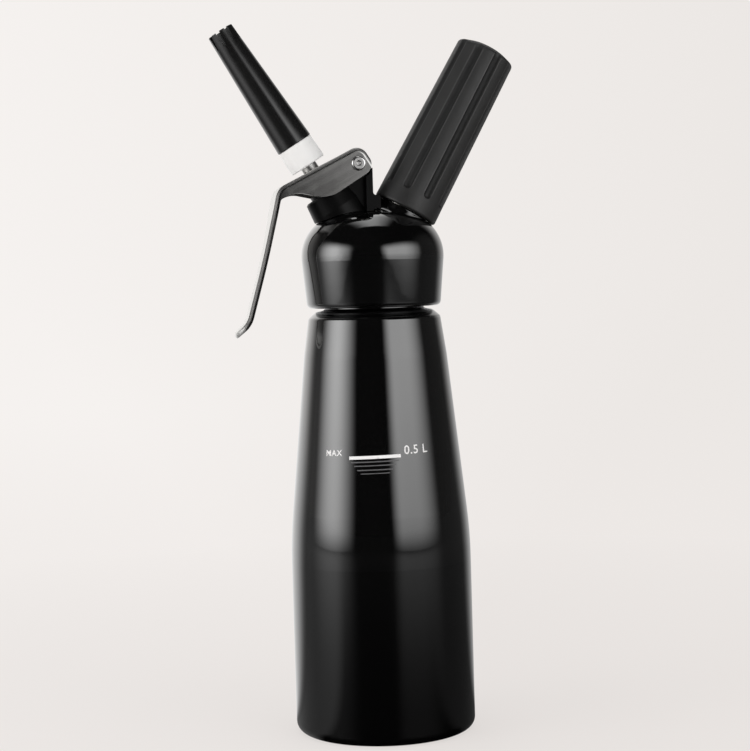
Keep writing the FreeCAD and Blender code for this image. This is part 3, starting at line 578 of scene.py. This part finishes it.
def moulded(name, colour, other_colour, low, high, grain, grain_depth, specular=0.5):
    """Plastic or rubber out of a mould, a little uneven in colour and gloss; grain_depth is in mm."""
    material, nodes, links, output = new_material(name)
    where = nodes.new("ShaderNodeTexCoord")
    place = where.outputs["Object"]
    tint = nodes.new("ShaderNodeMix")
    tint.data_type = "RGBA"
    tint.inputs["A"].default_value = (*colour, 1)
    tint.inputs["B"].default_value = (*other_colour, 1)
    links.new(noise(nodes, links, place, mould_patches, detail=4), tint.inputs["Factor"])
    gloss = place_group(nodes, "handled_gloss", Low=low, High=high)
    links.new(place, gloss.inputs["Position"])
    bump = nodes.new("ShaderNodeBump")
    bump.inputs["Strength"].default_value = 0.5
    bump.inputs["Distance"].default_value = grain_depth * mm
    links.new(noise(nodes, links, place, grain, detail=2), bump.inputs["Height"])
    shader = nodes.new("ShaderNodeBsdfPrincipled")
    shader.inputs["Specular IOR Level"].default_value = specular
    links.new(tint.outputs["Result"], shader.inputs["Base Color"])
    links.new(gloss.outputs["Roughness"], shader.inputs["Roughness"])
    links.new(bump.outputs["Normal"], shader.inputs["Normal"])
    links.new(shader.outputs["BSDF"], output.inputs["Surface"])
    return material


silicone = moulded("silicone", (0.62, 0.60, 0.56), (0.54, 0.52, 0.48), low=0.40, high=0.60, grain=2500,
                   grain_depth=0.02)
finish_node("head_gasket", silicone)


# Head: a domed casting with the valve's neck on the left and the boss of the charger port on the right,
# lacquered like the bottle. Its bore is cut with a thread and left bare, as is the hollow over the gasket.
head_lacquer = lacquer("head_lacquer", lacquer_black, bare_r=26.5 * mm, bare_top=213.6 * mm, hollow=False)
finish_node("head", head_lacquer)
head_bore_r = 22.6 * mm
head_thread_foot, head_thread_top = 188.7 * mm, 197.4 * mm
add_thread("head_thread", head_bore_r, head_bore_r - neck_thread_depth, neck_pitch, head_thread_foot,
           head_thread_top, Matrix(), "head_body", head_lacquer)


# Valve: a hollow piston with a rubber seal and its nut, turned from stainless steel, with two O-rings, the
# spring that lifts it, the plastic gland nut that guides it and the collar that the lever presses on.
shadowed_share = 0.8


def leaning_axis(joint_name):
    """Where the axis of a screw joint meets the bottle's axis, and how far it leans about Y."""
    joint = next(joint for joint in frame["joints"] if joint["name"] == joint_name)
    direction, point = Vector(joint["axis"]), Vector(joint["pos_m"])
    return point - direction * (point.x / direction.x), math.atan2(direction.x, direction.z)


def leant(axis):
    """The matrix that leans an upright piece over on to an axis."""
    root, lean = axis
    return Matrix.Translation(root) @ Matrix.Rotation(lean, 4, "Y")


def upright(nodes, links, axis):
    """Object coordinates turned back so that a leaning axis is upright."""
    where = nodes.new("ShaderNodeTexCoord")
    mapping = nodes.new("ShaderNodeMapping")
    mapping.vector_type = "TEXTURE"
    mapping.inputs["Location"].default_value = axis[0]
    mapping.inputs["Rotation"].default_value = (0, axis[1], 0)
    links.new(where.outputs["Object"], mapping.inputs["Vector"])
    return mapping.outputs["Vector"]


def turned(name, colour, low, high, axis, lines=2600):
    """Metal off a lathe, with fine lines round its axis that are a little darker, and uneven gloss."""
    material, nodes, links, output = new_material(name)
    place = upright(nodes, links, axis)
    cut = place_group(nodes, "turned_lines", Scale=lines)
    links.new(place, cut.inputs["Position"])
    gloss = place_group(nodes, "handled_gloss", Low=low, High=high)
    links.new(place, gloss.inputs["Position"])
    tint = nodes.new("ShaderNodeMix")
    tint.data_type = "RGBA"
    tint.inputs["A"].default_value = (*(shadowed_share * part for part in colour), 1)
    tint.inputs["B"].default_value = (*colour, 1)
    links.new(cut.outputs["Height"], tint.inputs["Factor"])
    bump = nodes.new("ShaderNodeBump")
    bump.inputs["Strength"].default_value = 0.5
    bump.inputs["Distance"].default_value = 0.004 * mm
    links.new(cut.outputs["Height"], bump.inputs["Height"])
    shader = nodes.new("ShaderNodeBsdfPrincipled")
    shader.inputs["Metallic"].default_value = 1
    links.new(tint.outputs["Result"], shader.inputs["Base Color"])
    links.new(gloss.outputs["Roughness"], shader.inputs["Roughness"])
    links.new(bump.outputs["Normal"], shader.inputs["Normal"])
    links.new(shader.outputs["BSDF"], output.inputs["Surface"])
    return material


valve_axis = leaning_axis("nozzle_screw")
charger_axis = leaning_axis("holder_screw")
valve_steel = turned("valve_steel", (0.68, 0.67, 0.65), low=0.36, high=0.48, axis=valve_axis)
for name in ("valve_piston", "seal_nut", "press_collar"):
    finish_node(name, valve_steel)
black_rubber = moulded("black_rubber", (0.022, 0.022, 0.022), (0.032, 0.031, 0.030), low=0.55, high=0.75,
                       grain=1800, grain_depth=0.03)
for name in ("piston_o_rings", "valve_seal"):
    finish_node(name, black_rubber)
gland_plastic = moulded("gland_plastic", (0.012, 0.012, 0.012), (0.016, 0.016, 0.016), low=0.22, high=0.38,
                        grain=1500, grain_depth=0.01)
finish_node("gland_nut", gland_plastic)

# The spring is the CAD one, copied with its points merged into a piece of its own that rides on the head's
# body.
spring_steel = turned("spring_steel", (0.52, 0.51, 0.49), low=0.22, high=0.38, axis=valve_axis, lines=900)
merge_reach = 0.001 * mm
bm = bmesh.new()
bm.from_mesh(cad_nodes["valve_spring"].data)
bmesh.ops.remove_doubles(bm, verts=bm.verts[:], dist=merge_reach)
for face in bm.faces:
    face.smooth = True
pressed_spring = add_piece("pressed_spring", bm, "head_body", spring_steel)
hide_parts("valve_spring")
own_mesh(pressed_spring)


# Bracket: a cup on the valve's neck with the arm that carries the lever's rivet and a fin behind it. It is
# moulded in one piece in satin black plastic, and the gland nut holds it down.
bracket_plastic = moulded("bracket_plastic", (0.003, 0.003, 0.0032), (0.005, 0.005, 0.005), low=0.28,
                          high=0.38, grain=700, grain_depth=0.012, specular=0.13)
finish_node("lever_bracket", bracket_plastic)


# Lever: pressed from stainless sheet into two cheeks and a handle that turns out at its tip, and brushed
# along its length. Its colour holds painted light: painted highlights on its edges, the handle's faces and
# the curl, and painted shade on the cheeks and on the handle's cut sides. It swings on a bright rivet with
# two nylon washers.

# Group: fine brushing along X, and broader streaks along it for tone and gloss.
nodes, links, given, result = new_group("brushed_lines", ["Position"], ["Height", "Streaks"])
for socket, stretch in (("Height", (25, 2600, 2600)), ("Streaks", (10, 420, 420))):
    stretched = nodes.new("ShaderNodeVectorMath")
    stretched.operation = "MULTIPLY"
    stretched.inputs[1].default_value = stretch
    links.new(given.outputs["Position"], stretched.inputs[0])
    links.new(noise(nodes, links, stretched.outputs["Vector"], 1.0, detail=3), result.inputs[socket])

cheek_lean = math.radians(-28.0)
handle_lean = math.radians(72.0)
handle_top_x = -36 * mm
curl_x = -55.5 * mm
handle_blend = 4 * mm
cheek_facing, edge_facing = 0.99, 0.90
side_facing, face_facing = 0.45, 0.10
# The lever's colour runs from steel in painted shade to steel with a painted highlight, set by how each
# surface faces: the cheeks sit in painted shade, and their edges, the handle's faces and the curl get painted
# highlights.
steel_in_painted_shade = (0.16, 0.155, 0.15, 1)
steel_in_painted_highlight = (0.97, 0.96, 0.94, 1)
cheek_painted_light, lever_edge_highlight, face_highlight, curl_highlight, streak_brighter = 0.27, 0.05, 0.73, 0.35, 0.13
edge_rougher, face_rougher, streak_rougher = 0.36, -0.18, 0.08

material, nodes, links, output = new_material("lever_steel")
where = nodes.new("ShaderNodeTexCoord")
brushings = []
for lean in (cheek_lean, handle_lean):
    along = nodes.new("ShaderNodeMapping")
    along.vector_type = "TEXTURE"
    along.inputs["Rotation"].default_value = (0, lean, 0)
    links.new(where.outputs["Object"], along.inputs["Vector"])
    brushing = place_group(nodes, "brushed_lines")
    links.new(along.outputs["Vector"], brushing.inputs["Position"])
    brushings.append(brushing)
split = nodes.new("ShaderNodeSeparateXYZ")
links.new(where.outputs["Object"], split.inputs["Vector"])
on_handle = maths(nodes, links, "LESS_THAN", split.outputs["X"], handle_top_x)
brushed = {}
for socket in ("Height", "Streaks"):
    blend = nodes.new("ShaderNodeMix")
    links.new(on_handle, blend.inputs["Factor"])
    links.new(brushings[0].outputs[socket], blend.inputs["A"])
    links.new(brushings[1].outputs[socket], blend.inputs["B"])
    brushed[socket] = blend.outputs["Result"]
facing = nodes.new("ShaderNodeSeparateXYZ")
links.new(where.outputs["Normal"], facing.inputs["Vector"])
sideways = maths(nodes, links, "ABSOLUTE", facing.outputs["Y"])
off_cheek = ramp(nodes, links, sideways, cheek_facing, edge_facing)
on_face = ramp(nodes, links, sideways, side_facing, face_facing)
tint = nodes.new("ShaderNodeMix")
tint.data_type = "RGBA"
tint.inputs["A"].default_value = steel_in_painted_shade
tint.inputs["B"].default_value = steel_in_painted_highlight
down_handle = ramp(nodes, links, split.outputs["X"], handle_top_x, handle_top_x - handle_blend)
past_curl = ramp(nodes, links, split.outputs["X"], curl_x, curl_x - handle_blend)
# Painted shade on the handle's cut sides, which takes back the cheeks' share of painted light.
side_painted_shade = maths(nodes, links, "MULTIPLY", down_handle, maths(nodes, links, "SUBTRACT", 1.0, on_face))
side_painted_shade = maths(nodes, links, "MULTIPLY", side_painted_shade, maths(nodes, links, "SUBTRACT", 1.0, past_curl))
# Painted light by facing, with the brushed streaks' real tone on top.
bright = maths(nodes, links, "MULTIPLY_ADD", off_cheek, lever_edge_highlight, cheek_painted_light)
bright = maths(nodes, links, "MULTIPLY_ADD", on_face, face_highlight, bright)
bright = maths(nodes, links, "MULTIPLY_ADD", past_curl, curl_highlight, bright)
bright = maths(nodes, links, "MULTIPLY_ADD", side_painted_shade, -cheek_painted_light, bright)
bright = maths(nodes, links, "MULTIPLY_ADD", brushed["Streaks"], streak_brighter, bright)
links.new(bright, tint.inputs["Factor"])
gloss = place_group(nodes, "handled_gloss", Low=0.12, High=0.18)
links.new(where.outputs["Object"], gloss.inputs["Position"])
bump = nodes.new("ShaderNodeBump")
bump.inputs["Strength"].default_value = 0.4
bump.inputs["Distance"].default_value = 0.003 * mm
links.new(brushed["Height"], bump.inputs["Height"])
shader = nodes.new("ShaderNodeBsdfPrincipled")
shader.inputs["Metallic"].default_value = 1
links.new(tint.outputs["Result"], shader.inputs["Base Color"])
rough = maths(nodes, links, "MULTIPLY_ADD", off_cheek, edge_rougher, gloss.outputs["Roughness"])
rough = maths(nodes, links, "MULTIPLY_ADD", on_face, face_rougher, rough)
rough = maths(nodes, links, "MULTIPLY_ADD", brushed["Streaks"], streak_rougher, rough)
links.new(rough, shader.inputs["Roughness"])
links.new(bump.outputs["Normal"], shader.inputs["Normal"])
links.new(shader.outputs["BSDF"], output.inputs["Surface"])
finish_node("lever", material)

rivet_place = (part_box("lever_pin")[0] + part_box("lever_pin")[1]) / 2
material, nodes, links, output = new_material("rivet_steel")
where = nodes.new("ShaderNodeTexCoord")
endwise = nodes.new("ShaderNodeMapping")
endwise.vector_type = "TEXTURE"
endwise.inputs["Location"].default_value = rivet_place
endwise.inputs["Rotation"].default_value = (math.radians(90), 0, 0)
links.new(where.outputs["Object"], endwise.inputs["Vector"])
cut = place_group(nodes, "turned_lines", Scale=1800)
links.new(endwise.outputs["Vector"], cut.inputs["Position"])
gloss = place_group(nodes, "handled_gloss", Low=0.16, High=0.28)
links.new(where.outputs["Object"], gloss.inputs["Position"])
bump = nodes.new("ShaderNodeBump")
bump.inputs["Strength"].default_value = 0.5
bump.inputs["Distance"].default_value = 0.002 * mm
links.new(cut.outputs["Height"], bump.inputs["Height"])
tint = nodes.new("ShaderNodeMix")
tint.data_type = "RGBA"
tint.inputs["A"].default_value = (0.72, 0.71, 0.70, 1)
tint.inputs["B"].default_value = (0.86, 0.85, 0.84, 1)
links.new(cut.outputs["Height"], tint.inputs["Factor"])
shader = nodes.new("ShaderNodeBsdfPrincipled")
shader.inputs["Metallic"].default_value = 1
links.new(tint.outputs["Result"], shader.inputs["Base Color"])
links.new(gloss.outputs["Roughness"], shader.inputs["Roughness"])
links.new(bump.outputs["Normal"], shader.inputs["Normal"])
links.new(shader.outputs["BSDF"], output.inputs["Surface"])
finish_node("lever_pin", material)
washer_plastic = moulded("washer_plastic", (0.70, 0.70, 0.68), (0.62, 0.62, 0.60), low=0.35, high=0.50,
                         grain=1500, grain_depth=0.01)
finish_node("lever_washers", washer_plastic)


# Nozzle adapter: a white plastic collar that screws on the piston, with a threaded spigot for the nozzle. The
# silicone washer inside the nozzle seals on the spigot's end.
white_plastic = moulded("white_plastic", (0.92, 0.92, 0.915), (0.88, 0.88, 0.87), low=0.22, high=0.36,
                        grain=900, grain_depth=0.008)
finish_node("nozzle_adapter", white_plastic)
finish_node("nozzle_seal", silicone)
spigot_r = 5.9 * mm
nozzle_pitch = 1.5 * mm
nozzle_thread_depth = 0.24 * mm
spigot_thread_foot, spigot_thread_top = 62.8 * mm, 68.8 * mm
add_thread("spigot_thread", spigot_r, spigot_r + nozzle_thread_depth, nozzle_pitch, spigot_thread_foot,
           spigot_thread_top, leant(valve_axis), "piston_body", white_plastic)


# Decorating nozzle: a tapered spout moulded in glossy black plastic, with a slotted crown that shapes the
# cream and a thread in its foot.
nozzle_plastic = moulded("nozzle_plastic", (0.006, 0.006, 0.006), (0.009, 0.009, 0.009), low=0.16, high=0.26,
                         grain=500, grain_depth=0.01, specular=1.0)
finish_node("decorating_nozzle", nozzle_plastic)
nozzle_bore_r = 6.2 * mm
nozzle_thread_foot, nozzle_thread_top = 63.5 * mm, 68.0 * mm
add_thread("nozzle_thread", nozzle_bore_r, nozzle_bore_r - nozzle_thread_depth, nozzle_pitch,
           nozzle_thread_foot, nozzle_thread_top, leant(valve_axis), "nozzle_body",
           nozzle_plastic)


# Charger port: a threaded stud turned from brass and nickel plated, screwed into the head over an O-ring. It
# holds a brass plug with the piercing pin and the charger's seal, and the check valve's sleeve is under it.
port_metal = turned("port_metal", (0.60, 0.585, 0.56), low=0.14, high=0.26, axis=charger_axis, lines=2200)
finish_node("charger_port", port_metal)
pin_brass = turned("pin_brass", (0.72, 0.53, 0.26), low=0.20, high=0.34, axis=charger_axis, lines=2400)
finish_node("pin_holder", pin_brass)
finish_node("piercing_pin", turned("pin_steel", (0.60, 0.59, 0.57), low=0.14, high=0.24, axis=charger_axis))
for name in ("port_o_ring", "charger_seal", "check_valve_sleeve"):
    finish_node(name, black_rubber)
stud_r = 9.6 * mm
holder_pitch = 2.5 * mm
holder_thread_depth = 0.26 * mm
port_thread_foot, port_thread_top = 33.4 * mm, 41.6 * mm
add_thread("port_thread", stud_r, stud_r + holder_thread_depth, holder_pitch, port_thread_foot,
           port_thread_top, leant(charger_axis), "head_body", port_metal)


# Gas charger: a small capsule deep drawn from sheet steel and zinc plated, with a narrow neck that stands on
# the charger seal, where the piercing pin opens it.
charger_steel = turned("charger_steel", (0.58, 0.58, 0.60), low=0.24, high=0.40, axis=charger_axis,
                       lines=1200)
finish_node("gas_charger", charger_steel)


# Charger holder: a grooved cup moulded in matt black plastic with a fine grain, round a threaded metal sleeve
# and with a rubber pad at its closed end. The grooves keep their grain and are painted darker as shade in
# them, and a painted highlight runs along their edges.
holder_foot_r, holder_top_r = 14.4 * mm, 13.1 * mm
holder_foot, holder_edge = 30.3 * mm, 107.7 * mm
groove_step = math.radians(40)
groove_turn = math.radians(-73)
groove_half_width = 1.95 * mm
groove_foot, groove_foot_full = 38 * mm, 41 * mm
groove_lip, groove_bed = 0.1 * mm, 0.9 * mm
highlight_end, highlight_full = 0.5 * mm, 0.1 * mm
dome_blend = 2 * mm
plain_tone, patch_tone, edge_highlight_tone, groove_shade_share = 0.012, 0.014, 0.030, 0.45
groove_rougher = 0.14
tone_patches, holder_grain = 90, 1300

material, nodes, links, output = new_material("holder_plastic")
place = upright(nodes, links, charger_axis)
split = nodes.new("ShaderNodeSeparateXYZ")
links.new(place, split.inputs["Vector"])
beside = nodes.new("ShaderNodeCombineXYZ")
links.new(split.outputs["X"], beside.inputs["X"])
links.new(split.outputs["Y"], beside.inputs["Y"])
from_axis = nodes.new("ShaderNodeVectorMath")
from_axis.operation = "LENGTH"
links.new(beside.outputs["Vector"], from_axis.inputs[0])
upwards = split.outputs["Z"]
wall_r = ramp(nodes, links, upwards, holder_foot, holder_edge, holder_foot_r, holder_top_r, "LINEAR")
sunk = maths(nodes, links, "SUBTRACT", wall_r, from_axis.outputs["Value"])
below_dome = ramp(nodes, links, upwards, holder_edge, holder_edge - dome_blend)
in_groove = maths(nodes, links, "MULTIPLY", below_dome, ramp(nodes, links, sunk, groove_lip, groove_bed))
turn = maths(nodes, links, "ARCTAN2", split.outputs["Y"], split.outputs["X"])
from_groove = maths(nodes, links, "SUBTRACT", turn, groove_turn)
from_groove = maths(nodes, links, "PINGPONG", from_groove, groove_step / 2)
from_groove = maths(nodes, links, "MULTIPLY", from_groove, from_axis.outputs["Value"])
from_edge = maths(nodes, links, "SUBTRACT", from_groove, groove_half_width)
from_edge = maths(nodes, links, "ABSOLUTE", from_edge)
along = ramp(nodes, links, upwards, groove_foot, groove_foot_full)
along = maths(nodes, links, "MULTIPLY", below_dome, along)
# A painted highlight along the edges of the grooves.
edge_highlight = maths(nodes, links, "MULTIPLY", along, ramp(nodes, links, from_edge, highlight_end, highlight_full))
patches = noise(nodes, links, place, tone_patches, detail=4)
tone = maths(nodes, links, "MULTIPLY_ADD", patches, patch_tone, plain_tone)
tone = maths(nodes, links, "MULTIPLY_ADD", edge_highlight, edge_highlight_tone, tone)
# Painted shade in the grooves.
shade = ramp(nodes, links, in_groove, 0, 1, 1.0, groove_shade_share, "LINEAR")
tone = maths(nodes, links, "MULTIPLY", tone, shade)
gloss = place_group(nodes, "handled_gloss", Low=0.46, High=0.58)
links.new(place, gloss.inputs["Position"])
grain = nodes.new("ShaderNodeBump")
grain.inputs["Strength"].default_value = 0.5
grain.inputs["Distance"].default_value = 0.05 * mm
links.new(noise(nodes, links, place, holder_grain, detail=2), grain.inputs["Height"])
shader = nodes.new("ShaderNodeBsdfPrincipled")
shader.inputs["Specular IOR Level"].default_value = 0.7
links.new(tone, shader.inputs["Base Color"])
rough = maths(nodes, links, "MULTIPLY_ADD", in_groove, groove_rougher, gloss.outputs["Roughness"])
links.new(rough, shader.inputs["Roughness"])
links.new(grain.outputs["Normal"], shader.inputs["Normal"])
links.new(shader.outputs["BSDF"], output.inputs["Surface"])
finish_node("charger_holder", material)
finish_node("holder_insert", port_metal)
finish_node("holder_pad", black_rubber)
insert_bore_r = 9.9 * mm
insert_thread_foot, insert_thread_top = 34.6 * mm, 45.4 * mm
add_thread("insert_thread", insert_bore_r, insert_bore_r - holder_thread_depth, holder_pitch,
           insert_thread_foot, insert_thread_top, leant(charger_axis), "holder_body",
           port_metal)
